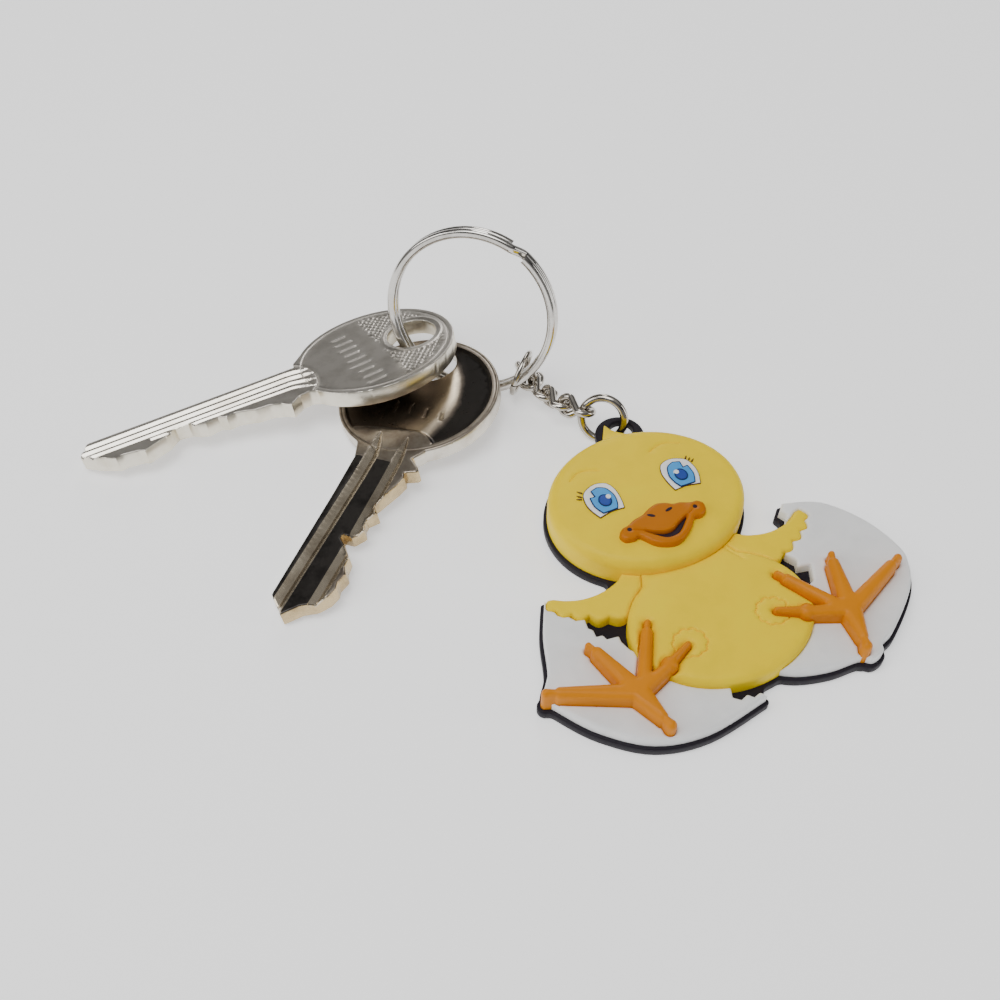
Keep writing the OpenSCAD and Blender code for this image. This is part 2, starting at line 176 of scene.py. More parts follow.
def relief(name, loops, z0, top, material, edge=0.5, step=0.3, grid=0.7, cuts=(), both=False,
           bottom_edge=0.0, at=None, sharp=50, extra=None, parts=None, lines=()):
    """A plate with the given outline. Its top edge is rounded by edge, and each cut is
    (line, depth, half width, closed), a groove or, with a negative depth, a ridge.
    With both, the cuts are made in the underside too. top may be a function of x and y, and
    extra is one of x, y and the distance to the outline. The mesh has points at parts, and its
    edges follow each of the lines."""
    loops = [thin(even(l, step), step * 0.3) for l in loops]
    loops = [l if (area(l) > 0) == (k == 0) else l[::-1] for k, l in enumerate(loops)]
    rim = np.vstack(loops)
    edges, n = [], 0
    for l in loops:
        edges += [(n + i, n + (i + 1) % len(l)) for i in range(len(l))]
        n += len(l)

    def dist(p):
        return np.min([distance(p, l) for l in loops], axis=0)

    pts = [rim]
    widest = max(edge, bottom_edge)
    for l in loops:
        normals = inward(l)
        for d in [f * widest for f in (0.06, 0.2, 0.45, 0.75, 1.05)]:
            q = l + normals * d
            q = q[inside(q, loops)]
            if len(q):
                q = q[dist(q) > d * 0.93]
            if len(q) > 2:
                pts.append(thin(q, max(step * 0.5, d * 0.3)))
    for line, depth, half, closed in cuts:
        l = even(line, min(step, half * 1.2), closed)
        normals = leftward(np.gradient(l, axis=0))
        for s in (-2.0, -1.1, -0.5, 0, 0.5, 1.1, 2.0):
            pts.append(l + normals * s * half)
    lo, hi = rim.min(0), rim.max(0)
    gx = np.arange(lo[0], hi[0], grid)
    gy = np.arange(lo[1], hi[1], grid * 0.866)
    pts.append(np.array([(x + (j % 2) * grid / 2, y) for j, y in enumerate(gy) for x in gx]))
    if parts is not None:
        pts.append(parts)
    inner = np.vstack([np.reshape(q, (-1, 2)) for q in pts[1:]])
    inner = inner[inside(inner, loops)]
    inner = inner[dist(inner) > 0.04]
    # one point at most in each small square
    keep, seen = [], set()
    for q in inner:
        k = (round(q[0] / CLOSEST), round(q[1] / CLOSEST))
        if k not in seen:
            seen.add(k)
            keep.append(q)
    inner = np.reshape(keep, (-1, 2))
    for l in lines:
        inner = inner[distance(inner, l, False) > CLOSEST]
    allp = np.vstack([rim, inner] + list(lines))
    n = len(rim) + len(inner)
    for l in lines:
        edges += [(n + i, n + i + 1) for i in range(len(l) - 1)]
        n += len(l)
    v2, _, f2, _, _, _ = delaunay_2d_cdt([Vector(p) for p in allp.tolist()], edges, [], 0, 1e-5)
    P = np.array([tuple(v) for v in v2])
    F = np.array([f for f in f2 if len(f) == 3])
    F = F[inside(P[F].mean(1), loops)]
    d = dist(P)
    d[d < 2e-4] = 0

    zt = (top(P[:, 0], P[:, 1]) if callable(top) else np.full(len(P), float(top))) - round_off(d, edge)
    zb = z0 + round_off(d, bottom_edge)
    for line, depth, half, closed in cuts:
        groove = depth * np.exp(-(distance(P, line, closed) / half) ** 2)
        zt -= groove
        if both:
            zb += groove
    if extra is not None:
        zt += extra(P[:, 0], P[:, 1], d)
    m = len(P)
    V = np.vstack([np.column_stack([P, zt]), np.column_stack([P, zb])])
    faces = [tuple(f) for f in F] + [tuple((f + m)[::-1]) for f in F]
    sides = {(f[a], f[b]) for f in F for a, b in ((0, 1), (1, 2), (2, 0))}
    faces += [(b, a, a + m, b + m) for f in F for a, b in ((f[0], f[1]), (f[1], f[2]), (f[2], f[0]))
              if (b, a) not in sides]
    return mesh_object(name, V, faces, material, at, sharp)


def sweep(name, path, section, material, up, closed=True, clamp=None, sharp=None):
    """Sweeps a section (n x 2) along a path. Its second axis starts towards up and turns as
    little as it can; clamp may reshape the points, and an open sweep has flat ends."""
    p = np.asarray(path, float)
    n = len(p)
    t = (np.roll(p, -1, 0) - np.roll(p, 1, 0)) if closed else np.gradient(p, axis=0)
    t /= np.linalg.norm(t, axis=1)[:, None]
    cur = np.array(up, float)
    ups = []
    for k in range(n):
        cur = cur - t[k] * (cur @ t[k])
        cur /= np.linalg.norm(cur)
        ups.append(cur.copy())
    ups = np.array(ups)
    if closed:
        # spread the leftover turn along the path
        last = ups[-1] - t[0] * (ups[-1] @ t[0])
        last /= np.linalg.norm(last)
        turn = math.atan2(np.cross(last, ups[0]) @ t[0], last @ ups[0])
        for k in range(n):
            a = turn * k / n
            ups[k] = ups[k] * math.cos(a) + np.cross(t[k], ups[k]) * math.sin(a)
    side = np.cross(t, ups)
    sec = np.asarray(section, float)
    m = len(sec)
    V = (p[:, None] + side[:, None] * sec[None, :, :1] + ups[:, None] * sec[None, :, 1:]).reshape(-1, 3)
    if clamp is not None:
        V = clamp(V)
    F = []
    for i in range(n if closed else n - 1):
        j = (i + 1) % n
        F += [(i * m + k, i * m + (k + 1) % m, j * m + (k + 1) % m, j * m + k) for k in range(m)]
    if not closed:
        F.append(tuple(range(m))[::-1])
        F.append(tuple((n - 1) * m + k for k in range(m)))
    return mesh_object(name, V, F, material, sharp=sharp)


def join(name, *objs):
    """Makes one object of several."""
    bpy.ops.object.select_all(action="DESELECT")
    for o in objs:
        o.select_set(True)
    bpy.context.view_layer.objects.active = objs[0]
    bpy.ops.object.join()
    objs[0].name = name
    return objs[0]


def chain_edges(edges):
    """Closed loops from directed edges between points, longest first."""
    nxt = {}
    for a, b in edges:
        nxt.setdefault(a, []).append(b)
    loops = []
    while nxt:
        a = next(iter(nxt))
        line, cur = [a], nxt[a].pop()
        if not nxt[a]:
            del nxt[a]
        while cur != a and cur in nxt:
            line.append(cur)
            b = nxt[cur].pop()
            if not nxt[cur]:
                del nxt[cur]
            cur = b
        loops.append(np.array(line, float))
    loops = [l for l in loops if len(l) > 2 and abs(area(l)) > 0.05]
    return sorted(loops, key=lambda l: -abs(area(l)))


def cap_loops(node, z):
    """Outline in millimetres of a CAD node's flat underside at height z."""
    bm = bmesh.new()
    bm.from_mesh(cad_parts[node].data)
    bmesh.ops.remove_doubles(bm, verts=bm.verts, dist=2e-6)
    under = {f for f in bm.faces if all(abs(v.co.z / MM - z) < 0.01 for v in f.verts)}
    edges = []
    for f in under:
        for loop in f.loops:
            if sum(g in under for g in loop.edge.link_faces) == 1:
                a, b = loop.vert, loop.link_loop_next.vert
                edges.append(tuple((q.co.x / MM, q.co.y / MM) for q in (a, b)))
    bm.free()
    return chain_edges(edges)


def union(*polys):
    """Outer loops of overlapping polygons."""
    pts, edges, n = [], [], 0
    for p in polys:
        pts += [Vector(q) for q in np.asarray(p, float).tolist()]
        edges += [(n + i, n + (i + 1) % len(p)) for i in range(len(p))]
        n += len(p)
    v, _, f, _, _, _ = delaunay_2d_cdt(pts, edges, [], 0, 1e-5)
    P = np.array([tuple(q) for q in v])
    F = np.array([t for t in f if len(t) == 3])
    mid = P[F].mean(1)
    keep = np.zeros(len(F), bool)
    for p in polys:
        keep |= inside(mid, [np.asarray(p, float)])
    seen = {}
    for t in F[keep]:
        for a, b in ((t[0], t[1]), (t[1], t[2]), (t[2], t[0])):
            seen[(int(a), int(b))] = 1
    e = [(tuple(P[a]), tuple(P[b])) for a, b in seen if (b, a) not in seen]
    return chain_edges(e)


# ---------------------------------------------------------------- materials


def material(name):
    """A new material, its tree, its shader and the object's own coordinates."""
    m = bpy.data.materials.new(name)
    m.use_nodes = True
    nt = m.node_tree
    b = nt.nodes["Principled BSDF"]
    c = nt.nodes.new("ShaderNodeTexCoord")
    return m, nt, b, c.outputs["Object"]


def noise(nt, vec, scale, detail=4.0, rough=0.55):
    n = nt.nodes.new("ShaderNodeTexNoise")
    n.inputs["Scale"].default_value = scale
    n.inputs["Detail"].default_value = detail
    n.inputs["Roughness"].default_value = rough
    nt.links.new(vec, n.inputs["Vector"])
    return n.outputs["Fac"]


def ramp(nt, fac, stops):
    """Colour ramp; each stop is a position and a colour."""
    r = nt.nodes.new("ShaderNodeValToRGB")
    e = r.color_ramp.elements
    while len(e) < len(stops):
        e.new(0.5)
    for k, (pos, col) in enumerate(stops):
        e[k].position = pos
        e[k].color = (*col, 1)
    nt.links.new(fac, r.inputs["Fac"])
    return r.outputs["Color"]


def to_range(nt, fac, lo, hi):
    r = nt.nodes.new("ShaderNodeMapRange")
    r.inputs["To Min"].default_value = lo
    r.inputs["To Max"].default_value = hi
    nt.links.new(fac, r.inputs["Value"])
    return r.outputs["Result"]


def bump(nt, b, height, strength, dist):
    n = nt.nodes.new("ShaderNodeBump")
    n.inputs["Strength"].default_value = strength
    n.inputs["Distance"].default_value = dist
    nt.links.new(height, n.inputs["Height"])
    nt.links.new(n.outputs["Normal"], b.inputs["Normal"])


def shade(c, k):
    return tuple(min(1.0, x * k) for x in c)


def pvc(name, color, rough=0.42):
    """Soft moulded plastic: faint clouds of shade and a very fine grain."""
    m, nt, b, vec = material(name)
    cloud = noise(nt, vec, 180, 5, 0.6)
    col = ramp(nt, cloud, [(0.3, shade(color, 0.93)), (0.55, color), (0.8, shade(color, 1.05))])
    nt.links.new(col, b.inputs["Base Color"])
    nt.links.new(to_range(nt, noise(nt, vec, 900, 3), rough - 0.07, rough + 0.1), b.inputs["Roughness"])
    bump(nt, b, noise(nt, vec, 5200, 4, 0.65), 0.10, 0.00006)
    b.inputs["Specular IOR Level"].default_value = 0.16
    return m


def metal(name, color, dark, rough=0.12, wear=0.0, pits=0.0):
    """Plated metal with cloudy patches of a darker shade; pits deepen the grain."""
    m, nt, b, vec = material(name)
    cloud = noise(nt, vec, 260, 6, 0.6)
    col = ramp(nt, cloud, [(0.32, dark), (0.55, color), (0.8, shade(color, 1.04))])
    nt.links.new(col, b.inputs["Base Color"])
    b.inputs["Metallic"].default_value = 1.0
    fine = noise(nt, vec, 2600, 5, 0.6)
    nt.links.new(to_range(nt, fine, max(0.02, rough - 0.06), rough + 0.1 + wear), b.inputs["Roughness"])
    bump(nt, b, fine, 0.06 + pits, 0.00004)
    return m


YELLOW = pvc("yellow_pvc", (1.0, 0.72, 0.0), 0.42)
BLACK = pvc("black_pvc", (0.016, 0.013, 0.019), 0.5)
WHITE = pvc("white_pvc", (0.94, 0.94, 0.93), 0.42)
ORANGE = pvc("orange_pvc", (0.72, 0.24, 0.002), 0.34)
BEAK = pvc("beak_pvc", (0.55, 0.165, 0.001), 0.3)
DARK = pvc("mouth_pvc", (0.03, 0.018, 0.028), 0.4)
EYE = pvc("eye_white_pvc", (0.95, 0.95, 0.94), 0.35)
SKY = pvc("iris_pvc", (0.07, 0.36, 0.80), 0.3)
NAVY = pvc("pupil_pvc", (0.03, 0.075, 0.36), 0.28)
LINE = pvc("eye_outline_pvc", (0.11, 0.055, 0.03), 0.45)
INK = pvc("iris_outline_pvc", (0.012, 0.03, 0.11), 0.4)
NICKEL = metal("nickel_wire", (0.54, 0.505, 0.455), (0.34, 0.31, 0.27), 0.10)
CHROME = metal("ring_nickel", (0.64, 0.62, 0.585), (0.48, 0.455, 0.42), 0.08)
KEY_A = metal("long_key_face", (0.62, 0.58, 0.52), (0.48, 0.445, 0.39), 0.27, pits=0.10, wear=0.10)
KEY_A_SIDE = metal("long_key_side", (0.84, 0.79, 0.67), (0.72, 0.66, 0.53), 0.30, pits=0.03)
KEY_A_CUT = metal("long_key_grooves", (0.82, 0.78, 0.69), (0.66, 0.61, 0.51), 0.2)
KEY_B = metal("short_key_face", (0.36, 0.31, 0.25), (0.21, 0.17, 0.135), 0.26, pits=0.16, wear=0.10)
KEY_B_SIDE = metal("short_key_side", (0.74, 0.70, 0.62), (0.56, 0.50, 0.41), 0.28, pits=0.04)
KEY_B_DARK = metal("short_key_black_lands", (0.075, 0.068, 0.062), (0.03, 0.027, 0.025), 0.36, pits=0.3)
KEY_B_CUT = metal("short_key_grooves", (0.60, 0.52, 0.40), (0.40, 0.335, 0.25), 0.24, pits=0.06)
BRASS = metal("worn_brass", (0.60, 0.47, 0.27), (0.38, 0.28, 0.15), 0.26, pits=0.08)


def dish_material(centre):
    """Dark brown patina on the bow's face, with a painted highlight and a painted reflection: with distance
    from a point it turns pale gold (painted highlight) and then black (painted reflection).
    """
    m, nt, b, vec = material("short_key_bow_patina_and_painted_reflection")
    d = nt.nodes.new("ShaderNodeVectorMath")
    d.operation = "DISTANCE"
    d.inputs[1].default_value = centre
    nt.links.new(vec, d.inputs[0])
    r = nt.nodes.new("ShaderNodeMapRange")
    r.inputs["From Max"].default_value = 0.020
    nt.links.new(d.outputs["Value"], r.inputs["Value"])
    add = nt.nodes.new("ShaderNodeMath")
    add.operation = "MULTIPLY_ADD"
    add.inputs[1].default_value = 0.06
    nt.links.new(noise(nt, vec, 420, 5, 0.6), add.inputs[0])
    nt.links.new(r.outputs["Result"], add.inputs[2])
    # the browns are patina; the pale gold stop is a painted highlight and the black beyond it a painted
    # reflection
    col = ramp(nt, add.outputs["Value"], [(0.30, (0.16, 0.125, 0.092)), (0.58, (0.22, 0.17, 0.125)),
                                          (0.69, (0.40, 0.315, 0.215)), (0.745, (0.66, 0.55, 0.40)),
                                          (0.785, (0.22, 0.185, 0.15)), (0.825, (0.05, 0.045, 0.041))])
    nt.links.new(col, b.inputs["Base Color"])
    b.inputs["Metallic"].default_value = 1.0
    fine = noise(nt, vec, 2400, 5, 0.65)
    nt.links.new(to_range(nt, fine, 0.2, 0.42), b.inputs["Roughness"])
    bump(nt, b, fine, 0.16, 0.00004)
    return m


# ---------------------------------------------------------------- the charm

# heights of the layers over the table
BASE_TOP = 1.5
SHELL_TOP, WING_TOP, TORSO_TOP, LEG_TOP, HEAD_TOP = 3.2, 3.8, 4.6, 5.4, 6.2


def put(obj, body, *nodes):
    """The object rides on a body and stands for its CAD nodes."""
    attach(obj, body)
    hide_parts(*nodes)
    return obj


HEAD = ((0, 8.2), 14.7, 12.6)
TAB = ((3.07, 22.19), 3.8, 3.8)
TAB_HOLE = ((3.75, 23.0), 1.8, 1.8)
plate = relief("plate", cap_loops("backing_plate", 0.0)[:1], 0.0, BASE_TOP, BLACK, edge=0.25, step=0.4,
               grid=1.6, bottom_edge=0.2)
tab = relief("tab", [oval(*TAB), oval(*TAB_HOLE, 60)[::-1]], 2.0, 3.4, BLACK, edge=0.3, step=0.35, grid=0.9,
             bottom_edge=0.25)
root_outline = np.array([(0.3, 17.7), (5.8, 17.7), (5.8, 19.9), (0.3, 19.9)])
root = relief("root", [root_outline], 1.4, 3.3, BLACK, edge=0.1, grid=1.5)
put(join("black_base", plate, tab, root), "charm", "backing_plate")


def tuft_ring(side):
    """Scalloped feather line round the top of a thigh."""
    t = np.linspace(0, 2 * np.pi, 161)[:-1]
    r = 2.15 + 0.28 * np.abs(np.sin(5 * t))
    return np.stack([side * 6.35 + r * np.cos(t), -15.9 + 0.92 * r * np.sin(t)], 1)


torso_cuts = [(tuft_ring(s), 0.34, 0.1, True) for s in (-1, 1)]
torso_cuts += [(smooth([(-7.0, -2.4), (-7.6, -4.2), (-8.9, -6.2)]), 0.3, 0.25, False),
               (smooth([(6.0, -3.0), (6.6, -4.8), (7.5, -6.5)]), 0.3, 0.25, False)]


def crowned(height, drop, centre, a, b, power):
    """Surface that falls by drop from its middle to the edge of an ellipse."""
    def surface(x, y):
        r2 = ((x - centre[0]) / a) ** 2 + ((y - centre[1]) / b) ** 2
        return height - drop * r2.clip(0, 1) ** power

    return surface


put(relief("chick_body", cap_loops("torso", BASE_TOP)[:1], BASE_TOP,
           crowned(TORSO_TOP, 0.35, (0, -13.4), 13.2, 10.4, 3), YELLOW, edge=1.0, cuts=torso_cuts),
    "charm", "torso")
for side, s in (("left", -1), ("right", 1)):
    put(relief("wing_" + side + "_skin", cap_loops("wing_" + side, BASE_TOP)[:1], BASE_TOP,
               lambda x, y: WING_TOP - 0.06 * (np.abs(x) - 9).clip(0, 14), YELLOW, edge=0.55, step=0.2,
               grid=0.6), "charm", "wing_" + side)
    shells = [relief("s%d" % k, [l], BASE_TOP, SHELL_TOP, WHITE, edge=0.45, grid=0.9)
              for k, l in enumerate(cap_loops("shell_" + side, BASE_TOP))]
    put(join("eggshell_" + side, *shells), "charm", "shell_" + side)
    put(relief("foot_" + side, cap_loops("leg_" + side, BASE_TOP)[:1], BASE_TOP, LEG_TOP, ORANGE,
               edge=0.95, step=0.2, grid=0.35), "charm", "leg_" + side)

brow_l = smooth([(-9.3, 14.5), (-8.0, 15.35), (-6.8, 15.5), (-5.8, 15.25), (-4.55, 14.65)])
brow_r = smooth([(4.0, 14.95), (5.2, 15.5), (6.4, 15.75), (7.6, 15.55), (9.0, 14.85)])
head_cuts = [(brow_l, 0.2, 0.11, False), (brow_r, 0.2, 0.11, False)]
put(relief("chick_head", [oval(*HEAD, 180)], BASE_TOP, crowned(HEAD_TOP, 0.25, *HEAD, 2), YELLOW, edge=1.5,
           cuts=head_cuts, step=0.4, grid=0.8), "charm", "head")
tuft = np.vstack([smooth([(-0.9, 20.2), (0.0, 22.0), (1.3, 24.2)]),
                  smooth([(1.6, 22.6), (2.4, 21.3), (3.6, 20.1)]), [(3.4, 19.2), (-0.6, 19.2)]])
put(relief("hair", [tuft], 3.4, lambda x, y: 5.4 - 0.22 * (y - 20).clip(0, 5), YELLOW, edge=0.45, step=0.15,
           grid=0.35), "charm", "hair_tuft")

beak_line = smooth([(-7.6, 2.2), (-7.2, 1.1), (-5.9, 0.8), (-5.1, 0.9), (-3.7, -1), (-2, -1.95),
                    (-0.5, -2.1), (1.2, -1.3), (2.7, -0.1), (3.6, 0.9), (4.6, 0.8), (5.7, 1.4), (6, 2.6),
                    (5.3, 3.4), (4.3, 3.5), (3, 4.1), (1.9, 4.25), (1.1, 4.8), (-0.3, 5.2), (-1.8, 4.8),
                    (-3.1, 4.15), (-4.7, 3.8), (-5.9, 3.2), (-6.9, 3)], 5, True)
mouth_line = smooth([(-4, 1.4), (-2.7, 0.65), (-1.3, 0.1), (0, 0.25), (1.3, 1), (2.6, 1.55), (2, 0.8),
                     (0.5, -0.5), (-0.5, -0.85), (-1.7, -0.75), (-2.7, 0)], 5, True)
lip_groove = smooth([(-5.5, 2.1), (-3.9, 1.4), (-2.7, 0.65), (-1.3, 0.1), (0, 0.25), (1.3, 1), (2.7, 1.6),
                     (3.9, 2.1)])


def beak_swell(x, y, d):
    """The mouth corners are round knobs, each with a small dip in its middle."""
    out = 0 * x
    for cx in (-6.05, 4.45):
        r = np.hypot(x - cx, y - 2.35)
        out += 0.18 * np.exp(-(r / 0.9) ** 2) - 0.3 * np.exp(-(r / 0.36) ** 2)
    return out


put(relief("beak_shape", [beak_line, mouth_line[::-1]], HEAD_TOP - 0.3, HEAD_TOP + 0.95, BEAK, edge=0.42,
           step=0.14, grid=0.3, cuts=[(lip_groove, 0.2, 0.12, False)], extra=beak_swell), "charm", "beak")
put(relief("mouth_floor", [mouth_line], HEAD_TOP - 0.3, HEAD_TOP + 0.28, DARK, edge=0.05, step=0.14, grid=0.4),
    "charm", "mouth")
beads = []
for k, (cx, cy, a, b, tilt) in enumerate([(-2.05, 3.4, 0.66, 0.3, -0.6), (0.77, 3.4, 0.66, 0.3, 0.25),
                                           (-6.0, 2.33, 0.42, 0.42, 0), (4.4, 2.43, 0.42, 0.42, 0)]):
    o = oval((0, 0), a, b, 28)
    c, s = math.cos(tilt), math.sin(tilt)
    o = o @ np.array([[c, s], [-s, c]]) + (cx, cy)
    beads.append(relief("b%d" % k, [o], HEAD_TOP + 0.4, HEAD_TOP + 1.0, DARK, edge=0.14, step=0.08, grid=0.15))
put(join("nostril_beads", *beads), "charm", "nostrils")

white_outline = np.vstack([smooth([(8.1, 6.5), (8.75, 8.2), (8.85, 9.8), (8.3, 11.4), (6.4, 12.3), (4.6, 11.9),
                             (3.85, 10.4), (3.85, 8.4), (4.15, 6.8)]), [(6, 6.95)]])
iris_outline = np.vstack([smooth([(7.4, 6.9), (8, 8.4), (7.95, 10.1)]), [(7.15, 10), (7.25, 11.2)],
                    smooth([(6.2, 11.5), (5.1, 10.9), (4.55, 9.4), (4.7, 8), (5.15, 6.95)])])


def on_side(line, side):
    """A line of the right eye's drawing, moved to the eye on either side."""
    line = np.asarray(line, float)
    return line * (side, 1) + (-0.3, 0)


def band(line, w):
    """The outline of a thin band along a closed line, as outer and inner loops."""
    l = thin(even(line, 0.12), 0.05)
    if area(l) < 0:
        l = l[::-1]
    n = inward(l)
    return [l - n * w, (l + n * w * 0.6)[::-1]]


for side, s in (("left", -1), ("right", 1)):
    w = on_side(white_outline, s)
    i = on_side(iris_outline, s)
    eye = relief("e", [w], HEAD_TOP - 0.3, HEAD_TOP + 0.2, EYE, edge=0.1, step=0.12, grid=0.5)
    out = relief("eo", band(w, 0.09), HEAD_TOP - 0.3, HEAD_TOP + 0.17, LINE, edge=0.05, step=0.12, grid=0.5)
    put(join("eyeball_" + side, eye, out), "charm", "eye_white_" + side)
    ir = relief("i", [i], HEAD_TOP, HEAD_TOP + 0.36, SKY, edge=0.07, step=0.1, grid=0.4)
    io = relief("io", band(i, 0.09), HEAD_TOP, HEAD_TOP + 0.39, INK, edge=0.04, step=0.1, grid=0.4)
    put(join("iris_disc_" + side, ir, io), "charm", "iris_" + side)
    pc = on_side([(6.2, 8.85)], s)[0]
    pu = relief("p", [oval(pc, 0.84, 0.98, 48)], HEAD_TOP, HEAD_TOP + 0.5, NAVY, edge=0.08, step=0.1, grid=0.3)
    po = relief("po", band(oval(pc, 0.86, 1.0, 60), 0.1), HEAD_TOP, HEAD_TOP + 0.53, INK, edge=0.04, step=0.1,
                grid=0.5)
    put(join("pupil_disc_" + side, pu, po), "charm", "pupil_" + side)
    hc = (-5.77, 9.26) if s < 0 else (5.45, 9.5)
    put(relief("glint_" + side, [oval(hc, 0.4, 0.4, 32)], HEAD_TOP, HEAD_TOP + 0.6, EYE, edge=0.1, step=0.08,
               grid=0.2), "charm", "highlight_" + side)

lashes = []
LASHES = [((-9.35, 12.2), (-8.75, 11.55)), ((-9.75, 11.5), (-9.15, 10.9)), ((-10.05, 10.9), (-9.3, 10.55)),
          ((8.65, 12.1), (8.15, 11.55)), ((8.95, 11.6), (8.5, 11.15)), ((9.35, 11.15), (8.7, 10.7))]
for k, (a, b) in enumerate(LASHES):
    a, b = np.array(a), np.array(b)
    n = np.array([b[1] - a[1], a[0] - b[0]]) / np.linalg.norm(b - a)
    line = [a, (a + b) / 2 - n * 0.11, b - n * 0.10, b + n * 0.10, (a + b) / 2 + n * 0.11]
    lashes.append(relief("l%d" % k, [np.array(line)], HEAD_TOP - 0.3, HEAD_TOP + 0.13, LINE, edge=0.05,
                         step=0.1, grid=0.3))
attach(join("eyelashes", *lashes), "charm")

# ---------------------------------------------------------------- rings and links


def unit(v):
    v = np.array(v, float)
    return v / np.linalg.norm(v)


def turned(rot):
    """Rotation matrix for OpenSCAD-style degrees about X, then Y, then Z."""
    a, b, c = (math.radians(x) for x in rot)
    return np.array(Matrix.Rotation(c, 3, "Z") @ Matrix.Rotation(b, 3, "Y") @ Matrix.Rotation(a, 3, "X"))


def about(axis):
    """Rotation that takes +Z to the axis, as OpenSCAD's rotate([0, b, c]) does."""
    n = unit(axis)
    return turned((0, math.degrees(math.acos(n[2])), math.degrees(math.atan2(n[1], n[0]))))


def wire_ring(name, c, axis, r, wire):
    """Round wire bent into a ring that has a narrow slit."""
    t = np.radians(np.linspace(SLIT_AT, SLIT_AT + 360 - SLIT, 150))
    p = np.stack([r * np.cos(t), r * np.sin(t), 0 * t], 1) @ about(axis).T + np.array(c)
    return sweep(name, p, oval((0, 0), wire, wire, 24), NICKEL, unit(axis), closed=False, sharp=60)


# where neighbouring loops cross, and how far each link is rolled about its own length
HINGES = np.array([[-4.31, 42.62, 2.06], [-3.92, 38.68, 2.34], [-3.27, 34.76, 2.89], [-2.16, 31.04, 3.76],
                   [0.2, 27.7, 4.25]])
ROLLS = [153.3, -53.5, 124.2, 111.9]
HALF, HALF_W, WIRE, TWIST = 2.75, 1.6, 0.6, 84.0
# centre, axis, radius and wire radius
CONNECTOR = ((-5.767, 39.643, 4.442), (-0.69, 0.694, 0.207), 3.47, 0.45)
TAB_RING = ((1.94, 25.82, 3.78), (0.608, 0.672, -0.423), 3.4, 0.64)
SLIT_AT, SLIT = 100.0, 3.0
PRESSED = 1.4  # half thickness of a link, past which its faces are pressed flatter


def curb_link(name, a, b, roll):
    """Twisted oval link between two points: an oval path whose ends are turned against each other."""
    d = unit(b - a)
    e = unit(np.cross([0, 0, 1], d))
    m = np.cross(d, e)
    s, q, per = HALF - HALF_W, math.radians(TWIST / 2), 160
    length = 4 * s + 2 * math.pi * HALF_W
    pts = []
    for k in range(per):
        t = length * k / per
        if t < s:
            x, y = t, HALF_W
        elif t < s + math.pi * HALF_W:
            g = (t - s) / HALF_W
            x, y = s + HALF_W * math.sin(g), HALF_W * math.cos(g)
        elif t < 3 * s + math.pi * HALF_W:
            x, y = s - (t - s - math.pi * HALF_W), -HALF_W
        elif t < 3 * s + 2 * math.pi * HALF_W:
            g = (t - 3 * s - math.pi * HALF_W) / HALF_W
            x, y = -s - HALF_W * math.sin(g), -HALF_W * math.cos(g)
        else:
            x, y = -s + (t - 3 * s - 2 * math.pi * HALF_W), HALF_W
        f = max(-1.0, min(1.0, x / s))
        if abs(f) < 1:
            y0, z0 = math.cos(-q) * y, math.sin(-q) * y
            y1, z1 = math.cos(q) * y, math.sin(q) * y
            pts.append((x, y0 + (y1 - y0) * (f + 1) / 2, z0 + (z1 - z0) * (f + 1) / 2))
        else:
            pts.append((x, y * math.cos(f * q), y * math.sin(f * q)))
    p = np.array(pts)
    for _ in range(3):
        p = 0.5 * p + 0.25 * (np.roll(p, 1, 0) + np.roll(p, -1, 0))
    h = math.radians(roll)
    R = np.stack([d, math.cos(h) * e + math.sin(h) * m, -math.sin(h) * e + math.cos(h) * m], 1)
    mid = (a + b) / 2

    def flats(V):
        """The link's two broad faces are pressed a little flat."""
        w = V.copy()
        over = np.abs(w[:, 2]) > PRESSED
        w[over, 2] = np.sign(w[over, 2]) * (PRESSED + (np.abs(w[over, 2]) - PRESSED) * 0.25)
        return w @ R.T + mid

    return sweep(name, p, oval((0, 0), WIRE, WIRE, 24), NICKEL, (0, 0, 1), clamp=flats)


put(wire_ring("tab_ring_wire", *TAB_RING), "tab_ring", "tab_ring")
put(wire_ring("connector_wire", *CONNECTOR), "connector", "ring_connector")
for k in range(4):
    put(curb_link("chain_link_%d" % (k + 1), HINGES[k], HINGES[k + 1], ROLLS[k]), "link_%d" % (k + 1),
        "curb_link_%d" % (k + 1))

RING_C = np.array([-11.3, 46.5, 13.5])
RING_TURN = turned((0, 73.5, 230.5))
RING_R = 13.0
RING_STEP = 150.0


def split_ring():
    """Flat wire wound twice round, stepping over from one coil to the next."""
    half_w, half_t, gap, corner = 0.7, 0.585, 0.03, 0.46
    lift = half_t + gap
    start, end = 354, 366
    t = np.linspace(6, 714, 720)
    f = np.clip((t - start) / (end - start), 0, 1)
    z = -lift + 2 * lift * (3 * f ** 2 - 2 * f ** 3)
    a = np.radians(t + RING_STEP)
    p = np.stack([RING_R * np.cos(a), RING_R * np.sin(a), z], 1)
    sec = []
    for cx, cy, s in ((1, 1, 0), (-1, 1, 90), (-1, -1, 180), (1, -1, 270)):
        for k in range(5):
            u = math.radians(s + 22.5 * k)
            sec.append((cx * (half_w - corner) + corner * math.cos(u),
                        cy * (half_t - corner) + corner * math.sin(u)))
    return sweep("split_ring_coil", p @ RING_TURN.T + RING_C, sec, CHROME, RING_TURN[:, 2], closed=False,
                 sharp=50)


put(split_ring(), "ring", "split_ring")

# ---------------------------------------------------------------- keys


def knurl(x, y):
    """Crossed fine grooves."""
    pitch = 0.96
    u = np.sin((x + 0.8 * y) * math.pi / pitch)
    v = np.sin((x - 0.8 * y) * math.pi / pitch)
    return -0.12 * np.maximum(np.exp(-(u / 0.38) ** 2), np.exp(-(v / 0.38) ** 2))


def step_in(d, w):
    """Smooth rise from 0 to 1 over the width w."""
    t = np.clip(d / w, 0, 1)
    return t * t * (3 - 2 * t)


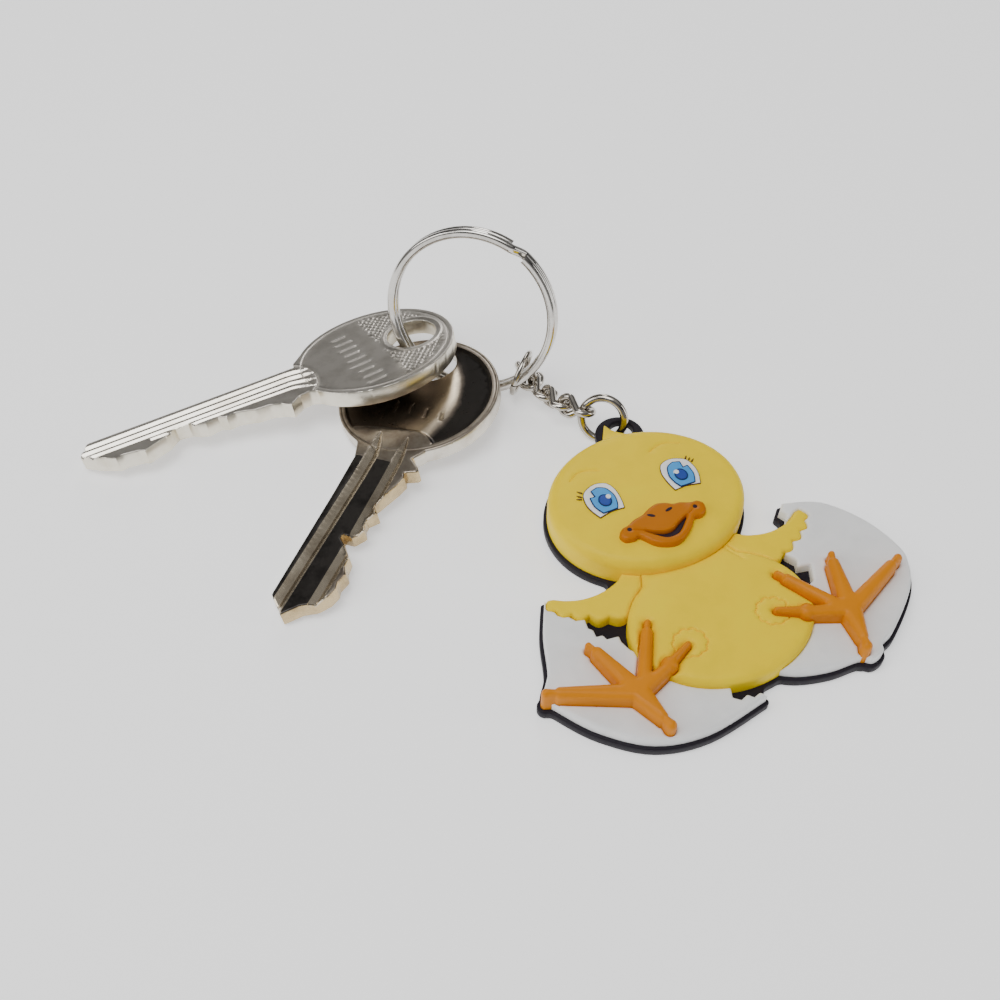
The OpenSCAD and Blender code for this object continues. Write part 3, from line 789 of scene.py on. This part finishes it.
LONG_AT = ((-19.5, 51.9, 6.3), turned((13, 4.5, -178.4)))
SHORT_AT = ((-17.4, 46.1, 3.45), turned((8, 2, -136.4)))
# the toothed edge of each blade, from the bow to the tip, as x and y in the key's own frame
LONG_CUTS = [(17.6, 6.4), (19.2, 5.5), (20.8, 5.7), (22.6, 7.2), (23.8, 6), (25.6, 5.1), (27.8, 4.9),
             (29.3, 4.2), (30.8, 3.7), (32.3, 3.9), (33.5, 3), (35.5, 3.5), (36.9, 2.9), (38, 1.8),
             (40, 1.4), (41.6, 3.1), (45.3, 4.7), (46.1, 4.1), (48.4, 3.6), (49.7, 3.9), (51.3, 2.6),
             (52.6, 1.7)]
SHORT_CUTS = [(18, 6.2), (19.7, 5), (20.9, 6.5), (21.6, 7), (22, 6.7), (22.6, 5.1), (23.5, 5.5),
              (25.1, 5.1), (28.7, 3.7), (29.3, 3.4), (30.3, 4.1), (30.8, 4.7), (32.1, 3.5), (33, 3.6),
              (34.2, 4.3), (35.9, 3.1), (35.9, 1.7), (36.5, 1.7), (37.6, 3), (39.2, 4.5), (40.7, 4.7),
              (42, 5.5), (43.7, 5.1), (44.7, 5.4), (46.3, 5), (47.9, 3.8), (48.9, 1.9)]
LONG_HOLE = ((0, 0), 4, 4, 72)
SHORT_HOLE = ((-0.6, -1.6), 4.2, 4.2, 72)
long_blade = [(12, 9), (12, -6), (17.4, -6), (19.3, -4), (19.5, -2.9), (53.2, -3), (54.6, -0.3), (53.8, 0.5)]
long_outline = union(oval((6.6, 0.5), 13.1, 11.6, 140), np.array(long_blade + LONG_CUTS[::-1]))[0]
short_blade = [(10, 8), (10, -7), (17, -7), (18.8, -5), (21.6, -4), (29, -3.6), (48.3, -3), (49.4, -1.8),
               (51, 0)]
short_outline = union(oval((6.6, -0.3), 12.9, 12.9, 140), np.array(short_blade + SHORT_CUTS[::-1]))[0]


class Channel:
    """A V-shaped groove along a path that rises in x, tapering from a point where it starts."""

    def __init__(self, path, half, depth, run):
        self.path, self.half, self.depth, self.run = np.array(path, float), half, depth, run

    def offset(self, x, y):
        """Distance from the middle as a share of the half width; 1 or more lies outside."""
        mid = np.interp(x, self.path[:, 0], self.path[:, 1])
        w = self.half * np.sqrt(np.clip((x - self.path[0, 0]) / self.run, 1e-6, 1))
        e = np.abs(y - mid) / w
        return np.where((x < self.path[0, 0]) | (x > self.path[-1, 0]), 9.0, e)

    def cut(self, x, y):
        x = np.asarray(x, float)
        fade = np.sqrt(np.clip((x - self.path[0, 0]) / self.run, 0, 1))
        return -self.depth * fade * np.clip(1 - self.offset(x, y), 0, 1)

    def lines(self):
        start, end = self.path[0, 0], self.path[-1, 0]
        x = np.concatenate([start + self.run * np.array([0, 0.04, 0.12, 0.25, 0.45, 0.7, 1.0]),
                            np.arange(start + self.run + 0.8, end, 0.8), [end]])
        mid = np.interp(x, self.path[:, 0], self.path[:, 1])
        w = self.half * np.sqrt(np.clip((x - start) / self.run, 0, 1))
        return [np.stack([x, mid + k * w], 1)[(1 if k else 0):] for k in (-1, 0, 1)]


def frame_of(obj, at):
    """Centres and normals of an object's faces in a key's own frame, in millimetres."""
    o, R = np.array(at[0]), at[1]
    me = obj.data
    cen = np.array([(np.array(f.center) / MM - o) @ R for f in me.polygons])
    return cen, np.array([np.array(f.normal) @ R for f in me.polygons])


def long_key():
    grooves = [Channel([(17.5, -1.0), (21, -1.55), (55, -1.55)], 0.52, 0.5, 1.5),
               Channel([(17.0, 0.7), (21, 0.0), (55, -0.05)], 0.5, 0.5, 1.5),
               Channel([(17.1, 2.6), (21, 1.5), (55, 1.3)], 0.42, 0.42, 1.5),
               Channel([(17.6, 4.4), (21, 2.9), (30, 2.6), (44, 2.5)], 0.34, 0.32, 1.5)]
    cuts = [(oval((6.6, 0.5), 12.2, 10.7, 120), 0.09, 0.1, True),
            (oval((0, 0), 4.75, 4.75, 80), -0.1, 0.28, True),
            (smooth([(19.7, -3.7), (17.8, -1.8), (16.9, 1.1), (17.2, 3.9), (18.4, 5.6)]), 0.16, 0.13, False)]
    for k in range(9):  # raised bars across the bow
        y = -6.1 + 1.92 * k
        x = 10.75 - 0.2 * k
        n = 1.3 if k % 3 else 1.05
        cuts.append((np.array([(x - n, y - 0.1), (x + n, y + 0.1)]), -0.15, 0.2, False))
    fill = np.array([(x, y) for x in np.arange(-5, 6.2, 0.13) for y in np.arange(-9.6, 10.8, 0.13)])

    def hatched(x, y):
        e = ((x - 6.6) / 11.2) ** 2 + ((y - 0.5) / 9.8) ** 2
        return (e < 1) & (x < 5.2 - 0.11 * y) & (np.hypot(x, y) > 5.2)

    def surface(x, y, d):
        return np.where(hatched(x, y), knurl(x, y), 0) + sum(g.cut(x, y) for g in grooves)

    o = relief("long_key_metal", [long_outline, oval(*LONG_HOLE)[::-1]], -1.4, 1.3, KEY_A, edge=0.2, grid=1.0,
               cuts=cuts, both=True, bottom_edge=0.2, at=LONG_AT, extra=surface,
               parts=fill[hatched(fill[:, 0], fill[:, 1])], sharp=30,
               lines=[l for g in grooves for l in g.lines()])
    me = o.data
    for m in (KEY_A_SIDE, KEY_A_CUT):
        me.materials.append(m)
    cen, nor = frame_of(o, LONG_AT)
    near = np.min([g.offset(cen[:, 0], cen[:, 1]) for g in grooves], axis=0)
    for f, c, n, e in zip(me.polygons, cen, nor, near):
        if e < 1 and c[2] > 0.6:
            f.material_index = 2
        elif abs(n[2]) < 0.5:
            f.material_index = 1
    return o


BOW = (6.6, -0.3)
GLOW = (8.5, -8.7)  # middle of the arc of painted highlight and painted black reflection on the short key's bow, round which the face also steps down


def short_key():
    grooves = [Channel([(15.7, -2.3), (20, -1.5), (25, -1.3), (52, -1.2)], 1.1, 0.62, 5),
               Channel([(15.8, 2.4), (20, 2.9), (25, 3.2), (36, 3.6), (52, 3.8)], 0.9, 0.55, 5)]
    cuts = [(oval(BOW, 12.35, 12.35, 140), 0.05, 0.1, True)]
    for k, y in enumerate((-2.7, -0.1, 2.6, 5.2)):
        cuts.append((np.array([(9.0 + 0.12 * k, y), (11.1 - 0.12 * k, y + 0.3)]), 0.16, 0.2, False))
    arc = np.radians(np.linspace(36, 325, 150))
    step = smooth([(16.1, -7.0), (15.5, -4.9), (14.8, -0.8), (14.4, 3.35), (14.9, 5.1), (16.0, 6.5)], 6)
    dish = np.vstack([np.stack([BOW[0] + 11.8 * np.cos(arc), BOW[1] + 11.8 * np.sin(arc)], 1), step])
    ring = np.vstack([dish, dish[:1]])
    inner = [dish + inward(dish) * w for w in (0.12, 0.3, 0.5)]
    glow = [np.stack([GLOW[0] + r * np.cos(a), GLOW[1] + r * np.sin(a)], 1)
            for r in np.arange(13.0, 16.2, 0.35) for a in [np.radians(np.linspace(20, 160, 130))]]
    lands = [np.array([(21.2, -4.1), (21.2, -2.6)]), np.array([(21.2, -0.3), (21.2, 2.0)])]
    lands += [l for g in grooves for l in g.lines()]

    def surface(x, y, d):
        q = np.stack([x, y], 1)
        e = np.where(inside(q, [dish]), distance(q, dish), 0)
        r = np.hypot(x - GLOW[0], y - GLOW[1])
        return (-0.16 * step_in(e, 0.35) - 0.3 * step_in(r - 13.3, 2.2) * step_in(e, 0.5)
                + sum(g.cut(x, y) for g in grooves))

    o = relief("short_key_metal", [short_outline, oval(*SHORT_HOLE)[::-1]], -1.3, 1.3, KEY_B, edge=0.3,
               grid=0.9, cuts=cuts, both=True, bottom_edge=0.25, at=SHORT_AT, extra=surface,
               parts=np.vstack(inner + glow), sharp=30, lines=[ring] + lands)
    me = o.data
    # centre of the bow's painted highlight and painted black reflection, in world coordinates
    centre = np.array(SHORT_AT[0]) + SHORT_AT[1] @ np.array([*GLOW, 1.1])
    for m in (KEY_B_SIDE, dish_material(centre * MM), KEY_B_DARK, KEY_B_CUT, BRASS):
        me.materials.append(m)
    cen, nor = frame_of(o, SHORT_AT)
    in_dish = inside(cen[:, :2], [dish])
    near = np.min([g.offset(cen[:, 0], cen[:, 1]) for g in grooves], axis=0)
    for f, c, n, d, e in zip(me.polygons, cen, nor, in_dish, near):
        x, y, z = c
        if e < 1 and z > 0.5 and n[2] > 0.3:
            f.material_index = 4
        elif abs(n[2]) < 0.5:
            f.material_index = 1 if x < 19.5 or y < 0 else 5
        # faces in the dish carry the patina with its painted highlight and painted black reflection
        elif z > 0 and d:
            f.material_index = 2
        elif x > 21.2 and y < 3.5 and z > 0:
            f.material_index = 3
    return o


put(long_key(), "key_long", "key_long")
put(short_key(), "key_short", "key_short")

# ---------------------------------------------------------------- floor, light, camera

floor_mat, nt, b, vec = material("floor_white")
b.inputs["Base Color"].default_value = (0.93, 0.93, 0.93, 1)
b.inputs["Roughness"].default_value = 0.9
b.inputs["Specular IOR Level"].default_value = 0.1
b.inputs["Emission Color"].default_value = (1, 1, 1, 1)
b.inputs["Emission Strength"].default_value = 0.62
bpy.ops.mesh.primitive_plane_add(size=8, location=(0, 0, -0.00005))
floor = bpy.context.object
floor.name = "floor"
floor.data.materials.append(floor_mat)

world = bpy.data.worlds.new("studio")
bpy.context.scene.world = world
world.use_nodes = True
wn = world.node_tree
bg = wn.nodes["Background"]
tc = wn.nodes.new("ShaderNodeTexCoord")
sep = wn.nodes.new("ShaderNodeSeparateXYZ")
wn.links.new(tc.outputs["Generated"], sep.inputs["Vector"])
# pale below, a dark band at the horizon for the metal to mirror, pale overhead
sky = ramp(wn, sep.outputs["Z"], [(0.0, (0.5, 0.5, 0.5)), (0.5, (0.5, 0.5, 0.5)), (0.53, (0.05, 0.05, 0.055)),
                                  (0.68, (0.07, 0.07, 0.075)), (0.80, (0.62, 0.62, 0.62)),
                                  (1.0, (0.75, 0.75, 0.75))])
wn.links.new(sky, bg.inputs["Color"])
bg.inputs["Strength"].default_value = 0.5


def lamp(name, place, aim, size, power, size_y=None):
    """Soft area light that faces the point aim."""
    d = bpy.data.lights.new(name, "AREA")
    d.energy = power
    d.size = size
    if size_y:
        d.shape = "RECTANGLE"
        d.size_y = size_y
    o = bpy.data.objects.new(name, d)
    o.location = place
    o.rotation_mode = "QUATERNION"
    o.rotation_quaternion = (Vector(aim) - Vector(place)).to_track_quat("-Z", "Y")
    bpy.context.scene.collection.objects.link(o)


lamp("overhead", (-0.16, -0.02, 0.5), (-0.01, 0.015, 0), 0.34, 1.5)
lamp("left_box", (-0.5, 0.05, 0.32), (-0.01, 0.02, 0), 0.3, 0.9)
lamp("back_strip", (0.18, 0.42, 0.30), (-0.01, 0.03, 0), 0.10, 0.5, size_y=0.34)
lamp("right_strip", (0.42, -0.25, 0.2), (0, 0.01, 0), 0.12, 0.5, size_y=0.4)

cam = bpy.data.cameras.new("camera")
cam.lens = 41.02
cam.sensor_width = 36
cam_obj = bpy.data.objects.new("camera", cam)
cam_obj.location = (-0.06207, -0.08119, 0.13105)
cam_obj.rotation_mode = "QUATERNION"
cam_obj.rotation_quaternion = (Vector((-0.018, 0.020, 0)) - cam_obj.location).to_track_quat("-Z", "Y")
cam.clip_start, cam.clip_end = 0.005, 20
bpy.context.scene.collection.objects.link(cam_obj)
bpy.context.scene.camera = cam_obj
